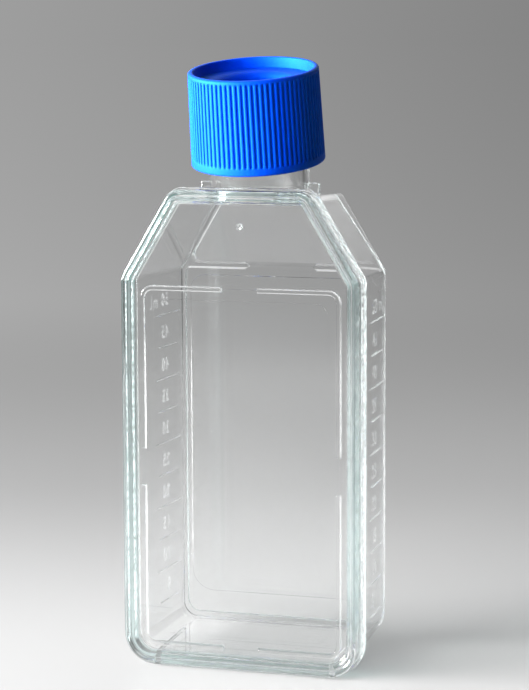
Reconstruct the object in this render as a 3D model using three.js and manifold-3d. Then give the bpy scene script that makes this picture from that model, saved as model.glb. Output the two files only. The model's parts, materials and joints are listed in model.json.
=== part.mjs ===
// Canted-neck cell culture flask, standing upright on its base, in millimetres, +Z up.
//
// Three real pieces: a clear flask body moulded in one with its neck, a clear front plate
// whose raised rim is welded to the body's front flange, and a one-piece plug-seal screw cap.
// The front plate faces -Y and the back, which is the growth surface, faces +Y. The origin is
// on the surface the flask stands on, at the centre of the flask's bounding box in X and Y.

import * as THREE from 'three';
import { mergeVertices } from 'three/addons/utils/BufferGeometryUtils.js';
import Module from 'manifold-3d';

const wasm = await Module();
wasm.setup();

// ---------------------------------------------------------------- driving dimensions

// outline of the body's front flange, which is the widest part of the flask
const flangeWidth = 43.1;
const flangeHeight = 83.8;
const flangeTopWidth = 24.9;
const shoulderDrop = 15.3;
const baseCornerRadius = 5.9;
const shoulderCornerRadius = 4.3;
const topCornerRadius = 3.3;

// depths, measured back from the front of the rim
const bodyDepth = 26.4;
const rimHeight = 0.95;
const plateThickness = 1.2;
const flangeThickness = 2.25;

// walls of the body
const wall = 1.1;
const wallInset = 1.24;
const draft = THREE.MathUtils.degToRad(2.45);
const backEdgeRadius = 1.3;
const insideEdgeRadius = 1.0;
const edgeBreak = 0.25;

// rim of the front plate, set in a little from the flange's edge
const rimInset = 0.3;
const rimWidth = 2.1;
const rimEdgeRadius = 0.5;

// raised frame on the front plate, cut into four corner brackets, and the gate mark
const frameInset = 3.6;
const frameBelowShoulder = 1.5;
const frameCornerRadius = 2.2;
const frameRibWidth = 0.9;
const frameRibHeight = 0.4;
const frameGapAcross = 6.2;
const frameGapUp = 6.4;
const gateRadius = 0.6;
const gateProud = 0.3;
const gateDrop = 6.5;

// back: a shallow panel, a ramp up to the neck, and the stand ribs each side of the ramp
const panelDepth = 0.3;
const panelSideBorder = 0.45;
const panelFootBorder = 1.1;
const panelCornerRadius = 2.6;
const standRibWidth = 1.1;
const standRibBelowShoulder = 0.7;
const standRibOpening = 12.2;
const rampStep = 0.4;
const rampBehindNeck = 0.2;

// neck, canted towards the front
const cantAngle = THREE.MathUtils.degToRad(10.5);
const neckIntoFlange = 0.1;
const neckRadius = 8.7;
const neckWall = 1.0;
const neckAboveCapBase = 12.9;
const neckRoot = 8.2;
const capAboveFlange = 4.0;
const lugReach = 2.0;
const lugHeight = 1.7;
const lugThickness = 1.6;

// one coarse thread on the neck
const threadDepth = 0.9;
const threadPitch = 3.2;
const threadTurns = 1.75;
const threadStart = 4.0;
const threadRootWidth = 1.7;
const threadCrestWidth = 0.7;
const threadSunk = 0.3;

// two small feet under the bottom wall, level with the flange's edge
const footInset = 5.65;
const footThickness = 1.0;
const footLength = 13.0;

// screw cap
const skirtWall = 1.65;
const skirtTaper = 0.36;
const ribCount = 78;
const ribDepth = 0.4;
const ribCrestShare = 0.36;
const grooveFloorShare = 0.24;
const capBandHeight = 1.3;
const capRimWidth = 0.9;
const capTopThickness = 1.15;
const recessDepth = 1.9;
const recessDraft = 0.2;
const plugLength = 5.0;
const plugWall = 0.95;
const plugLead = 0.6;
const wellDraft = 0.2;
const wellMouthDepth = 2.0;

// clearances
const threadClearance = 0.35;
const plugClearance = 0.35;
const seatGap = 0.35;

// ---------------------------------------------------------------- materials

const clearPolystyrene = new THREE.MeshStandardMaterial({
  color: 0xe4efee, roughness: 0.05, metalness: 0, transparent: true, opacity: 0.35,
});
const bluePlastic = new THREE.MeshStandardMaterial({
  color: 0x0a5be0, roughness: 0.38, metalness: 0,
});

// ---------------------------------------------------------------- mesh and solid helpers

const ARC_STEPS = 5;
const ROUND_STEPS = 64;

function toSolid(geometry) {
  const bare = geometry.clone();
  bare.deleteAttribute('normal');
  bare.deleteAttribute('uv');
  const merged = mergeVertices(bare, 1e-5);
  const mesh = new wasm.Mesh({
    numProp: 3,
    vertProperties: new Float32Array(merged.attributes.position.array),
    triVerts: new Uint32Array(merged.index.array),
  });
  return new wasm.Manifold(mesh);
}

function toGeometry(solid) {
  const mesh = solid.getMesh();
  const geometry = new THREE.BufferGeometry();
  geometry.setAttribute('position', new THREE.BufferAttribute(new Float32Array(mesh.vertProperties), 3));
  geometry.setIndex(new THREE.BufferAttribute(new Uint32Array(mesh.triVerts), 1));
  geometry.computeVertexNormals();
  return geometry;
}

function fromTriangles(positions, triangles) {
  const geometry = new THREE.BufferGeometry();
  geometry.setAttribute('position', new THREE.Float32BufferAttribute(positions.flat(), 3));
  geometry.setIndex(triangles);
  return toSolid(geometry);
}

function box(x0, x1, y0, y1, z0, z1) {
  const geometry = new THREE.BoxGeometry(x1 - x0, y1 - y0, z1 - z0);
  return toSolid(geometry.translate((x0 + x1) / 2, (y0 + y1) / 2, (z0 + z1) / 2));
}

// Extrudes a shape drawn in X and Z from depth y0 back to depth y1.
function extrudeBack(shape, y0, y1) {
  const geometry = new THREE.ExtrudeGeometry(shape, {
    depth: y1 - y0, bevelEnabled: false, curveSegments: ARC_STEPS,
  });
  return toSolid(geometry.rotateX(Math.PI / 2).translate(0, y1, 0));
}

function roundedRectangle(halfWidth, bottom, top, radius) {
  const shape = new THREE.Shape();
  shape.moveTo(-halfWidth + radius, bottom);
  shape.absarc(halfWidth - radius, bottom + radius, radius, -Math.PI / 2, 0);
  shape.absarc(halfWidth - radius, top - radius, radius, 0, Math.PI / 2);
  shape.absarc(-halfWidth + radius, top - radius, radius, Math.PI / 2, Math.PI);
  shape.absarc(-halfWidth + radius, bottom + radius, radius, Math.PI, Math.PI * 1.5);
  return shape;
}

// ---------------------------------------------------------------- worked-out sizes and places

const shoulderHeight = flangeHeight - shoulderDrop;
const weldDepth = rimHeight + plateThickness;
const flangeBack = weldDepth + flangeThickness;

// the neck's front meets the back of the flange at the height of the top wall's outside
const wallTop = flangeHeight - wallInset;
const neckHalfDepth = neckRadius / Math.cos(cantAngle);
const neckRootDepth = flangeBack - neckIntoFlange + neckHalfDepth;
const capBaseHeight = flangeHeight + capAboveFlange;
const capBaseDepth = neckRootDepth - (capBaseHeight - wallTop) * Math.tan(cantAngle);

// the ramp runs from above the stand ribs to just behind the back of the neck
const standRibHeight = shoulderHeight - standRibBelowShoulder;
const rampFoot = standRibHeight + standRibWidth;
const rampRun = bodyDepth - rampStep - (neckRootDepth + neckHalfDepth + rampBehindNeck);
const rampAngle = Math.atan2(rampRun, wallTop - rampFoot);

// the cap is sized by the neck that it covers
const boreRadius = neckRadius - neckWall;
const skirtInside = neckRadius + threadDepth + threadClearance;
const capRadius = skirtInside + skirtWall;
const capPlateUnder = neckAboveCapBase + seatGap;
const capPlateTop = capPlateUnder + capTopThickness;
const capLength = capPlateTop + recessDepth;

// ---------------------------------------------------------------- the flask's outline

// Corners of the six-sided outline, counter-clockwise seen from the front, moved in by inset.
function corners(inset) {
  const half = flangeWidth / 2;
  const topHalf = flangeTopWidth / 2;
  const slope = Math.atan2(half - topHalf, shoulderDrop);
  const side = half - inset;
  const top = flangeHeight - inset;
  const shoulder = shoulderHeight - inset * Math.tan(slope / 2);
  const topSide = topHalf - inset * Math.tan((Math.PI / 2 - slope) / 2);
  return [
    { x: -side, z: inset, radius: baseCornerRadius },
    { x: side, z: inset, radius: baseCornerRadius },
    { x: side, z: shoulder, radius: shoulderCornerRadius },
    { x: topSide, z: top, radius: topCornerRadius },
    { x: -topSide, z: top, radius: topCornerRadius },
    { x: -side, z: shoulder, radius: shoulderCornerRadius },
  ];
}

// The same outline with its corners rounded, as a list of points. A corner's radius shrinks
// as the outline moves in, down to a fifth of its size at the edge.
function outline(inset) {
  const sharp = corners(inset);
  return sharp.flatMap((corner, i) => {
    const here = new THREE.Vector2(corner.x, corner.z);
    const before = sharp[(i + sharp.length - 1) % sharp.length];
    const after = sharp[(i + 1) % sharp.length];
    const back = new THREE.Vector2(before.x, before.z).sub(here).normalize();
    const ahead = new THREE.Vector2(after.x, after.z).sub(here).normalize();
    const halfAngle = Math.acos(back.dot(ahead)) / 2;
    const radius = Math.max(corner.radius - inset, corner.radius * 0.2);
    const toCentre = back.clone().add(ahead).normalize().multiplyScalar(radius / Math.sin(halfAngle));
    const centre = here.clone().add(toCentre);
    const start = here.clone().add(back.multiplyScalar(radius / Math.tan(halfAngle)));
    const turn = Math.PI - 2 * halfAngle;
    return Array.from({ length: ARC_STEPS + 1 }, (_, k) => (
      start.clone().rotateAround(centre, (turn * k) / ARC_STEPS)
    ));
  });
}

// A closed solid through a list of { y, inset } sections, from the front to the back.
function loft(sections) {
  const rings = sections.map(({ y, inset }) => outline(inset).map((p) => [p.x, y, p.y]));
  const count = rings[0].length;
  const positions = rings.flat();
  const triangles = [];
  for (let r = 0; r + 1 < rings.length; r += 1) {
    for (let i = 0; i < count; i += 1) {
      const a = r * count + i;
      const b = r * count + ((i + 1) % count);
      triangles.push(a, a + count, b, b, a + count, b + count);
    }
  }
  const middle = flangeHeight / 2;
  const front = positions.length;
  const back = front + 1;
  positions.push([0, sections[0].y, middle], [0, sections[sections.length - 1].y, middle]);
  const lastRing = (rings.length - 1) * count;
  for (let i = 0; i < count; i += 1) {
    const next = (i + 1) % count;
    triangles.push(front, i, next, back, lastRing + next, lastRing + i);
  }
  return fromTriangles(positions, triangles);
}

// Inset of the body's outer wall at a depth, with its draft.
function wallInsetAt(y) {
  return wallInset + Math.max(y - flangeBack, 0) * Math.tan(draft);
}

// Sections that round the edge between a wall and the flat that closes it at depth y.
function roundedBack(y, extraInset, radius) {
  const steps = 3;
  return Array.from({ length: steps + 1 }, (_, k) => {
    const angle = (k / steps) * (Math.PI / 2);
    const depth = y - radius * (1 - Math.sin(angle));
    return { y: depth, inset: wallInsetAt(depth) + extraInset + radius * (1 - Math.cos(angle)) };
  });
}

// ---------------------------------------------------------------- neck

// A point on the neck's axis, by its distance above the cap's lower edge.
function onNeckAxis(distance) {
  const y = capBaseDepth - distance * Math.sin(cantAngle);
  const z = capBaseHeight + distance * Math.cos(cantAngle);
  return new THREE.Vector3(0, y, z);
}

// Stands a solid drawn around +Z from the cap's lower edge onto the canted axis.
function ontoNeck(solid) {
  const foot = onNeckAxis(0);
  return solid.rotate([THREE.MathUtils.radToDeg(cantAngle), 0, 0]).translate([foot.x, foot.y, foot.z]);
}

function cylinderUp(radius, from, to) {
  const geometry = new THREE.CylinderGeometry(radius, radius, to - from, ROUND_STEPS);
  return toSolid(geometry.rotateX(Math.PI / 2).translate(0, 0, (from + to) / 2));
}

// The neck's thread, a tapered ridge wound up the neck and faded out at both ends.
function neckThread() {
  const stepsPerTurn = 40;
  const steps = Math.round(threadTurns * stepsPerTurn);
  const fade = stepsPerTurn / 8;
  const positions = [];
  for (let k = 0; k <= steps; k += 1) {
    const angle = (k / steps) * threadTurns * 2 * Math.PI;
    const rise = threadStart + (k / steps) * threadTurns * threadPitch;
    const height = threadDepth * Math.min(1, (k + 1) / fade, (steps - k + 1) / fade);
    const section = [
      [neckRadius - threadSunk, -threadRootWidth / 2],
      [neckRadius + height, -threadCrestWidth / 2],
      [neckRadius + height, threadCrestWidth / 2],
      [neckRadius - threadSunk, threadRootWidth / 2],
    ];
    section.forEach(([r, up]) => {
      positions.push([r * Math.cos(angle), r * Math.sin(angle), rise + up]);
    });
  }
  const triangles = [0, 1, 2, 0, 2, 3];
  for (let k = 0; k < steps; k += 1) {
    for (let j = 0; j < 4; j += 1) {
      const a = k * 4 + j;
      const b = k * 4 + ((j + 1) % 4);
      triangles.push(a, a + 4, b, b, a + 4, b + 4);
    }
  }
  const end = steps * 4;
  triangles.push(end, end + 2, end + 1, end, end + 3, end + 2);
  return fromTriangles(positions, triangles);
}

// ---------------------------------------------------------------- flask body

// Depth of the ramp's outer face at a height.
function rampDepthAt(z) {
  return bodyDepth - rampStep - (z - rampFoot) * Math.tan(rampAngle);
}

// Everything behind the ramp's face moved forward by offset, from a height up past the top.
function behindRamp(offset, bottom) {
  const top = flangeHeight + 10;
  const far = bodyDepth + 5;
  const shift = offset / Math.cos(rampAngle);
  const profile = new THREE.Shape([
    new THREE.Vector2(rampDepthAt(bottom) - shift, bottom),
    new THREE.Vector2(far, bottom),
    new THREE.Vector2(far, top),
    new THREE.Vector2(rampDepthAt(top) - shift, top),
  ]);
  const geometry = new THREE.ExtrudeGeometry(profile, { depth: flangeWidth, bevelEnabled: false });
  geometry.applyMatrix4(new THREE.Matrix4().makeBasis(
    new THREE.Vector3(0, 1, 0), new THREE.Vector3(0, 0, 1), new THREE.Vector3(1, 0, 0),
  ));
  return toSolid(geometry.translate(-flangeWidth / 2, 0, 0));
}

// Plan of the ramp between the stand ribs, open past the top.
function rampPlan() {
  const shoulder = corners(wallInsetAt(bodyDepth) + standRibWidth)[2];
  const top = corners(wallInsetAt(bodyDepth) + standRibWidth)[3];
  const slope = (shoulder.x - top.x) / (top.z - shoulder.z);
  const openHeight = flangeHeight + 5;
  const footHalf = shoulder.x - Math.max(rampFoot - shoulder.z, 0) * slope;
  const openHalf = shoulder.x - (openHeight - shoulder.z) * slope;
  return new THREE.Shape([
    new THREE.Vector2(-footHalf, rampFoot),
    new THREE.Vector2(footHalf, rampFoot),
    new THREE.Vector2(openHalf, openHeight),
    new THREE.Vector2(-openHalf, openHeight),
  ]);
}

function makeBody() {
  const outside = loft([
    { y: weldDepth, inset: edgeBreak },
    { y: weldDepth + edgeBreak, inset: 0 },
    { y: flangeBack - edgeBreak, inset: 0 },
    { y: flangeBack, inset: edgeBreak },
    { y: flangeBack, inset: wallInset },
    ...roundedBack(bodyDepth, 0, backEdgeRadius),
  ]);

  const past = bodyDepth + 2;
  const rampPocket = behindRamp(0, rampFoot).intersect(extrudeBack(rampPlan(), weldDepth, past));
  const backFlat = wallInsetAt(bodyDepth) + backEdgeRadius;
  const panel = roundedRectangle(
    flangeWidth / 2 - backFlat - panelSideBorder, backFlat + panelFootBorder, standRibHeight,
    panelCornerRadius,
  );
  const panelPocket = extrudeBack(panel, bodyDepth - panelDepth, past);
  const ribGap = box(
    -standRibOpening / 2, standRibOpening / 2, bodyDepth - panelDepth, past,
    standRibHeight - standRibWidth, rampFoot + standRibWidth,
  );

  const neck = ontoNeck(cylinderUp(neckRadius, -neckRoot, neckAboveCapBase).add(neckThread()));
  const bore = ontoNeck(cylinderUp(boreRadius, -neckRoot, neckAboveCapBase + 2));
  const lugHalf = neckRadius + lugReach;
  const lugs = box(
    -lugHalf, lugHalf, neckRootDepth - lugThickness / 2, neckRootDepth + lugThickness / 2,
    wallTop - wall / 2, wallTop + lugHeight,
  );
  const footMiddle = flangeWidth / 2 - footInset;
  const feet = [-footMiddle, footMiddle].map((x) => box(
    x - footThickness / 2, x + footThickness / 2,
    flangeBack - edgeBreak * 2, flangeBack + footLength, 0, wallInset + wall - edgeBreak,
  ));

  const insideBack = bodyDepth - panelDepth - wall;
  const cavity = loft([
    { y: weldDepth - 1, inset: wallInset + wall },
    { y: flangeBack, inset: wallInset + wall },
    ...roundedBack(insideBack, wall, insideEdgeRadius),
  ]).subtract(behindRamp(wall, standRibHeight - wall));

  return outside
    .subtract(rampPocket)
    .subtract(panelPocket)
    .subtract(ribGap)
    .add(neck)
    .add(lugs)
    .add(feet[0])
    .add(feet[1])
    .subtract(cavity)
    .subtract(bore);
}

// ---------------------------------------------------------------- front plate

function makeFrontPlate() {
  const inner = rimInset + rimWidth;
  const plate = loft([
    { y: rimHeight, inset: inner + edgeBreak },
    { y: rimEdgeRadius, inset: inner },
    { y: 0, inset: inner - rimEdgeRadius },
    { y: 0, inset: rimInset + rimEdgeRadius },
    { y: rimEdgeRadius / 3, inset: rimInset + rimEdgeRadius / 3 },
    { y: rimEdgeRadius, inset: rimInset },
    { y: weldDepth - edgeBreak, inset: rimInset },
    { y: weldDepth, inset: rimInset + edgeBreak },
  ]);

  const ribBack = rimHeight + plateThickness / 2;
  const frameTop = shoulderHeight - frameBelowShoulder;
  const frameHalf = flangeWidth / 2 - frameInset;
  const frame = roundedRectangle(frameHalf, frameInset, frameTop, frameCornerRadius);
  frame.holes.push(roundedRectangle(
    frameHalf - frameRibWidth, frameInset + frameRibWidth, frameTop - frameRibWidth,
    frameCornerRadius - frameRibWidth,
  ));
  const frameMiddle = (frameInset + frameTop) / 2;
  const brackets = extrudeBack(frame, rimHeight - frameRibHeight, ribBack)
    .subtract(box(-frameGapAcross / 2, frameGapAcross / 2, 0, weldDepth, 0, flangeHeight))
    .subtract(box(
      -flangeWidth, flangeWidth, 0, weldDepth,
      frameMiddle - frameGapUp / 2, frameMiddle + frameGapUp / 2,
    ));

  const gateFront = rimHeight - gateProud;
  const gate = new THREE.CylinderGeometry(gateRadius, gateRadius, ribBack - gateFront, 16);
  gate.translate(0, (ribBack + gateFront) / 2, flangeHeight - gateDrop);

  return plate.add(brackets).add(toSolid(gate));
}

// ---------------------------------------------------------------- screw cap

// Outer radius of the skirt at a distance up from its lower edge.
function skirtRadius(up) {
  return capRadius - (skirtTaper * up) / capLength;
}

// Grip ribs as a tapering star-shaped core that covers the ribbed length and a little more.
function ribbedCore(from, to) {
  const pitch = (2 * Math.PI) / ribCount;
  const star = new THREE.Shape();
  for (let i = 0; i < ribCount; i += 1) {
    const crest = (i + 0.5) * pitch - Math.PI / 2;
    const spots = [
      [crest - (pitch * ribCrestShare) / 2, capRadius + ribDepth / 4],
      [crest + (pitch * ribCrestShare) / 2, capRadius + ribDepth / 4],
      [crest + (pitch * (1 - grooveFloorShare)) / 2, capRadius - ribDepth],
      [crest + (pitch * (1 + grooveFloorShare)) / 2, capRadius - ribDepth],
    ];
    spots.forEach(([angle, radius], k) => {
      const x = radius * Math.cos(angle);
      const y = radius * Math.sin(angle);
      if (i + k === 0) {
        star.moveTo(x, y);
      } else {
        star.lineTo(x, y);
      }
    });
  }
  const geometry = new THREE.ExtrudeGeometry(star, { depth: to - from, bevelEnabled: false });
  geometry.translate(0, 0, from);
  const spots = geometry.attributes.position;
  for (let i = 0; i < spots.count; i += 1) {
    const scale = skirtRadius(spots.getZ(i)) / capRadius;
    spots.setXY(i, spots.getX(i) * scale, spots.getY(i) * scale);
  }
  return toSolid(geometry);
}

function makeCap() {
  const plugRadius = boreRadius - plugClearance;
  const plugTip = capPlateUnder - plugLength;
  const wellRadius = plugRadius - plugWall;
  const wellFloor = plugTip + plugWall;
  const ribTop = capLength - capRimWidth;
  const rimOutside = skirtRadius(capLength);
  const rimInside = rimOutside - capRimWidth;
  const profile = [
    [0, plugTip],
    [plugRadius - plugLead, plugTip],
    [plugRadius, plugTip + plugLead],
    [plugRadius, capPlateUnder],
    [skirtInside, capPlateUnder],
    [skirtInside, 0],
    [capRadius - edgeBreak, 0],
    [capRadius, edgeBreak],
    [skirtRadius(capBandHeight), capBandHeight],
    [skirtRadius(ribTop), ribTop],
    [rimOutside - capRimWidth * 0.1, capLength - capRimWidth * 0.4],
    [rimOutside - capRimWidth * 0.4, capLength - capRimWidth * 0.1],
    [rimOutside - capRimWidth * 0.7, capLength],
    [rimInside, capLength - capRimWidth * 0.3],
    [rimInside - recessDraft, capPlateTop],
    [boreRadius, capPlateTop],
    [(boreRadius + wellRadius) / 2, capPlateTop - wellMouthDepth / 4],
    [wellRadius, capPlateTop - wellMouthDepth],
    [wellRadius - wellDraft, wellFloor],
    [0, wellFloor],
  ].map(([radius, up]) => new THREE.Vector2(radius, up));
  const turned = toSolid(new THREE.LatheGeometry(profile, ribCount).rotateX(Math.PI / 2));
  const grooves = cylinderUp(capRadius + 1, capBandHeight, ribTop)
    .subtract(ribbedCore(capBandHeight - 1, ribTop + 1));
  return turned.subtract(grooves);
}

// ---------------------------------------------------------------- assembly

function piece(name, solid, material) {
  const mesh = new THREE.Mesh(toGeometry(solid), material);
  mesh.name = name;
  return mesh;
}

const group = new THREE.Group();
group.name = 'culture_flask';

const body = piece('flask_body', makeBody(), clearPolystyrene);
const plate = piece('front_plate', makeFrontPlate(), clearPolystyrene);
const cap = piece('screw_cap', makeCap(), bluePlastic);
cap.position.copy(onNeckAxis(0));
cap.rotation.x = cantAngle;
group.add(body, plate, cap);

const extent = new THREE.Box3().setFromObject(group, true);
const centreDepth = (extent.min.y + extent.max.y) / 2;
group.children.forEach((mesh) => {
  mesh.position.y -= centreDepth;
});

export default group;
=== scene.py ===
"""Looks of a canted-neck cell culture flask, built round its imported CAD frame.

Sizes are in millimetres, apart from those of the floor and the lights, which are in metres.
Depths run back from the front of the rim and heights run up from the surface the flask stands
on. Places come from the frame's boxes and joint.
"""

import json
import math

import bmesh
import bpy
from mathutils import Matrix, Vector


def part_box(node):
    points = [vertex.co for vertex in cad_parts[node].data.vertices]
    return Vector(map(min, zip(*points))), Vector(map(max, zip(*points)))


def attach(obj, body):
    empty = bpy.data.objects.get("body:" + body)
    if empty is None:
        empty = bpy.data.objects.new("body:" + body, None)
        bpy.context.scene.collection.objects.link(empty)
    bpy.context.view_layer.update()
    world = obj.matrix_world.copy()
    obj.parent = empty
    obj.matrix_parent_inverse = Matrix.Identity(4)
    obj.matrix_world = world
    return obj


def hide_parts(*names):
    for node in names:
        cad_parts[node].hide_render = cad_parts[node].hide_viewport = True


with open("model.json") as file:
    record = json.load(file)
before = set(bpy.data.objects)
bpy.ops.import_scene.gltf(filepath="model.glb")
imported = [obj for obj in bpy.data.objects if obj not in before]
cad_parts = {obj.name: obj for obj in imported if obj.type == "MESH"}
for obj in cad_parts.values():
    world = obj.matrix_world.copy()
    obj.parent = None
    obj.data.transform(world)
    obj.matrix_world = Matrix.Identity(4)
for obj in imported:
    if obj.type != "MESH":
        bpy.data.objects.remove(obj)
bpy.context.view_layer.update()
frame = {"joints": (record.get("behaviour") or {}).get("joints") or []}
MM = 0.001

# ------------------------------------------------------------------ places from the frame

body_high = Vector(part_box("flask_body")[1]) / MM
plate_low, plate_high = (Vector(corner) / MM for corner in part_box("front_plate"))
lift = Vector(frame["joints"][0]["axis"])

FRONT = plate_low.y
WELD = plate_high.y - FRONT
DEPTH = body_high.y - FRONT
HALF_WIDTH = body_high.x
RIM_INSET = HALF_WIDTH - plate_high.x
HEIGHT = plate_high.z + RIM_INSET
CANT = math.atan2(-lift.y, lift.z)

# ------------------------------------------------------------------ sizes shared with the CAD

TOP_HALF_WIDTH = 12.45
SHOULDER_DROP = 15.3
CORNER_RADII = {"base": 5.9, "shoulder": 4.3, "top": 3.3}
RIM_HEIGHT = 0.95
RIM_WIDTH = 2.1
FLANGE_THICKNESS = 2.25
WALL = 1.1
WALL_INSET = 1.24
DRAFT = math.radians(2.45)
INSIDE_EDGE_RADIUS = 1.0
PANEL_DEPTH = 0.3
PANEL_CORNER_RADIUS = 2.6
STAND_RIB_WIDTH = 1.1
STAND_RIB_BELOW_SHOULDER = 0.7
STAND_RIB_OPENING = 12.2
RAMP_STEP = 0.4
RAMP_BEHIND_NECK = 0.2
NECK_INTO_FLANGE = 0.1
NECK_RADIUS = 8.7
NECK_WALL = 1.0
NECK_ABOVE_CAP_BASE = 12.9
NECK_ROOT = 8.2
THREAD_DEPTH = 0.9
THREAD_PITCH = 3.2
THREAD_TURNS = 1.75
THREAD_START = 4.0
THREAD_SUNK = 0.3
CAP_ABOVE_FLANGE = 4.0
LUG_REACH = 2.0
LUG_HEIGHT = 1.7
LUG_THICKNESS = 1.6
FOOT_INSET = 5.65
FOOT_THICKNESS = 1.0
FOOT_LENGTH = 13.0
FRAME_INSET = 3.6
FRAME_BELOW_SHOULDER = 1.5
FRAME_RIB_WIDTH = 0.9
FRAME_CORNER_RADIUS = 2.2
FRAME_GAP_ACROSS = 6.2
FRAME_GAP_UP = 6.4
GATE_DROP = 6.5

FLANGE_BACK = WELD + FLANGE_THICKNESS
SHOULDER_HEIGHT = HEIGHT - SHOULDER_DROP
SHOULDER_LEAN = math.atan2(HALF_WIDTH - TOP_HALF_WIDTH, SHOULDER_DROP)
WALL_TOP = HEIGHT - WALL_INSET
NECK_HALF_DEPTH = NECK_RADIUS / math.cos(CANT)
NECK_ROOT_DEPTH = FLANGE_BACK - NECK_INTO_FLANGE + NECK_HALF_DEPTH
CAP_BASE_HEIGHT = HEIGHT + CAP_ABOVE_FLANGE
CAP_BASE_DEPTH = NECK_ROOT_DEPTH - (CAP_BASE_HEIGHT - WALL_TOP) * math.tan(CANT)
STAND_RIB_HEIGHT = SHOULDER_HEIGHT - STAND_RIB_BELOW_SHOULDER
RAMP_FOOT = STAND_RIB_HEIGHT + STAND_RIB_WIDTH
RAMP_RUN = DEPTH - RAMP_STEP - (NECK_ROOT_DEPTH + NECK_HALF_DEPTH + RAMP_BEHIND_NECK)
RAMP_SLOPE = RAMP_RUN / (WALL_TOP - RAMP_FOOT)

# ------------------------------------------------------------------ mesh helpers

ARC_STEPS = 10
CORNER_STEPS = 8
ROUND_STEPS = 128
ON_AXIS = 0.001
SHARP_ANGLE = math.radians(32)

# how far cutting shapes reach past what they cut
PAST = 1
FAR_PAST = 5


def new_object(name, verts, faces):
    """A closed mesh from points in mm, as (x, depth, height), with its faces turned outward."""
    mesh = bpy.data.meshes.new(name)
    places = [(x * MM, (FRONT + y) * MM, z * MM) for x, y, z in verts]
    mesh.from_pydata(places, [], faces)
    bm = bmesh.new()
    bm.from_mesh(mesh)
    bmesh.ops.remove_doubles(bm, verts=bm.verts, dist=1e-7)
    bmesh.ops.recalc_face_normals(bm, faces=bm.faces)
    bm.to_mesh(mesh)
    bm.free()
    obj = bpy.data.objects.new(name, mesh)
    bpy.context.scene.collection.objects.link(obj)
    return obj


def bridge(rings):
    """Points and faces of a skin through rings of equal length, closed at both ends."""
    count = len(rings[0])
    last = (len(rings) - 1) * count
    verts = [point for ring in rings for point in ring]
    faces = []
    for start in range(0, last, count):
        for i in range(count):
            j = (i + 1) % count
            faces.append((start + i, start + count + i, start + count + j, start + j))
    faces.append(tuple(range(count)))
    faces.append(tuple(range(last + count - 1, last - 1, -1)))
    return verts, faces


def arc(radius, steps=6):
    """A quarter round as (distance along, drop) pairs, from tangent to square."""
    angles = [math.pi / 2 * k / steps for k in range(steps + 1)]
    return [(radius * math.sin(a), radius * (1 - math.cos(a))) for a in angles]


def outline(inset):
    """The flask's six-sided outline with rounded corners, moved in, as (x, height)."""
    side = HALF_WIDTH - inset
    shoulder = SHOULDER_HEIGHT - inset * math.tan(SHOULDER_LEAN / 2)
    top_side = TOP_HALF_WIDTH - inset * math.tan((math.pi / 2 - SHOULDER_LEAN) / 2)
    top = HEIGHT - inset
    right = [(side, inset, "base"), (side, shoulder, "shoulder"), (top_side, top, "top")]
    left = [(-x, z, kind) for x, z, kind in reversed(right)]
    sharp = right + left
    points = []
    for i, (x, z, kind) in enumerate(sharp):
        here = Vector((x, z))
        before = (Vector(sharp[i - 1][:2]) - here).normalized()
        after = (Vector(sharp[(i + 1) % len(sharp)][:2]) - here).normalized()
        half = before.angle(after) / 2
        radius = max(CORNER_RADII[kind] - inset, CORNER_RADII[kind] * 0.2)
        centre = here + (before + after).normalized() * radius / math.sin(half)
        spoke = here + before * radius / math.tan(half) - centre
        for k in range(ARC_STEPS + 1):
            turn = Matrix.Rotation((math.pi - 2 * half) * k / ARC_STEPS, 2)
            points.append(centre + turn @ spoke)
    return points


def loft(name, sections):
    """A solid through the outline at (depth, inset) sections."""
    rings = [[(p.x, y, p.y) for p in outline(inset)] for y, inset in sections]
    return new_object(name, *bridge(rings))


def rounded_rectangle(half_width, bottom, top, low_radius, top_radius):
    """Points (x, height) of a rectangle with rounded corners."""
    corners = (
        (half_width - low_radius, bottom + low_radius, -90, low_radius),
        (half_width - top_radius, top - top_radius, 0, top_radius),
        (-half_width + top_radius, top - top_radius, 90, top_radius),
        (-half_width + low_radius, bottom + low_radius, 180, low_radius),
    )
    points = []
    for x, z, start, radius in corners:
        for k in range(CORNER_STEPS + 1):
            angle = math.radians(start + 90 * k / CORNER_STEPS)
            points.append((x + radius * math.cos(angle), z + radius * math.sin(angle)))
    return points


def stack(name, levels):
    """A solid through (points, depth) levels, each a list of (x, height)."""
    return new_object(name, *bridge([[(x, y, z) for x, z in points] for points, y in levels]))


def neck_place(x, y, s):
    """A point measured round the neck's canted axis, s above the cap's lower edge."""
    depth = CAP_BASE_DEPTH + y * math.cos(CANT) - s * math.sin(CANT)
    height = CAP_BASE_HEIGHT + y * math.sin(CANT) + s * math.cos(CANT)
    return x, depth, height


def turned(name, profile, steps, place):
    """A solid of revolution of (radius, s) points, closed on its axis, put down by place."""
    angles = [2 * math.pi * k / steps for k in range(steps)]
    rings = []
    for radius, s in profile:
        rings.append([place(radius * math.cos(a), radius * math.sin(a), s) for a in angles])
    return new_object(name, *bridge(rings))


def ridge(name, path, profile, place):
    """A raised line along path, with (half width, height) steps, put down by place(u, v, h)."""
    spots = [Vector(p) for p in path]
    sides = []
    for i in range(len(spots)):
        before = spots[max(i - 1, 0)]
        after = spots[min(i + 1, len(spots) - 1)]
        along = (after - before).normalized()
        sides.append(Vector((-along.y, along.x)))
    first = (spots[0] - spots[1]).normalized()
    last = (spots[-1] - spots[-2]).normalized()
    widest = profile[0][0]
    rings = []
    for half, height in profile:
        shrink = widest - half
        line = list(spots)
        line[0] = spots[0] - first * shrink
        line[-1] = spots[-1] - last * shrink
        left = [p + side * half for p, side in zip(line, sides)]
        right = [p - side * half for p, side in zip(line, sides)]
        rings.append([place(p.x, p.y, height) for p in left + right[::-1]])
    return new_object(name, *bridge(rings))


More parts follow.
